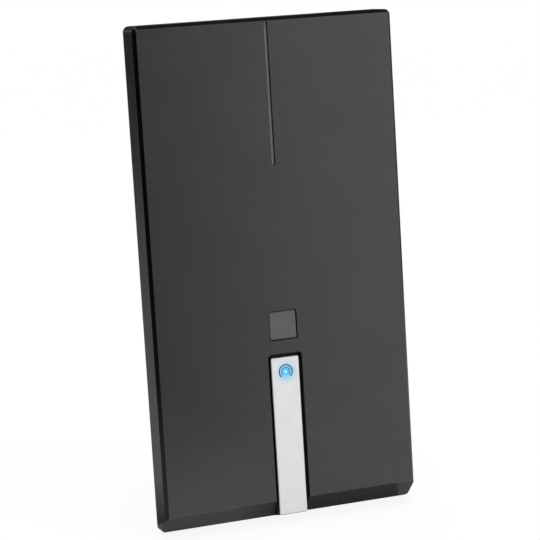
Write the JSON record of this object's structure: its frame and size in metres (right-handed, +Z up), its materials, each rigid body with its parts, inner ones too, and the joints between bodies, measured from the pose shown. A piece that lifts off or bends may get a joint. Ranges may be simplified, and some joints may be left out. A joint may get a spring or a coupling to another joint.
{
  "type": "amplified indoor tv antenna",
  "caption": "Flat upright indoor TV antenna with a charcoal plastic panel, silver trim strip, lit signal symbol, rear sockets and a fold-out easel leg.",
  "frame": {"origin": "on the ground under the middle of the part's box, as it stands on its feet and open leg", "axes": "+Z up, -Y the way the front face looks, +X to the right as seen from the front"},
  "size_m": [0.1536, 0.0696, 0.2853],
  "materials": {
    "front_shell": "satin charcoal, very finely grained",
    "rear_shell": "fine matt grain",
    "silver_trim": "silver lacquer with fine flakes, see-through at the light symbol",
    "carrier": "matt black",
    "badge": "satin grey",
    "accent": "satin grey",
    "light_guide": "milky clear",
    "lamp": "clear resin over a blue lamp",
    "circuit_board": "green solder resist",
    "radiator": "bare copper sheet",
    "ferrite": "matt sintered grey",
    "tin_can": "tinned sheet",
    "chip": "moulded black epoxy",
    "nickel_brass": "nickel plated",
    "insulator": "white moulding",
    "contact": "bright spring metal",
    "jack": "moulded black",
    "screw_steel": "blackened steel",
    "leg": "fine matt grain",
    "pin_steel": "ground steel",
    "rubber": "soft matt black"
  },
  "bodies": {
    "panel": {"front_cover": "front_shell", "rear_cover": "rear_shell", "trim_strip": "silver_trim", "strip_carrier": "carrier", "badge_plate": "badge", "accent_inlay": "accent", "light_guide": "light_guide", "indicator_led": "lamp", "antenna_board": "circuit_board", "radiator_left": "radiator", "radiator_right": "radiator", "balun_core": "ferrite", "amplifier_shield": "tin_can", "amplifier_chip": "chip", "coax_socket": "nickel_brass", "coax_insulator": "insulator", "coax_contact": "contact", "power_jack": "jack", "power_jack_pin": "nickel_brass", "cover_screws": "screw_steel", "stand_pin": "pin_steel", "base_feet": "rubber"},
    "leg": {"stand_leg": "leg", "leg_pad": "rubber"}
  },
  "joints": [
    {"name": "stand_hinge", "type": "hinge", "parent": "panel", "child": "leg", "pos_m": [0, 0.01336, 0.19439], "axis": [1, 0, 0], "range_deg": [-15.2, 0]}
  ]
}
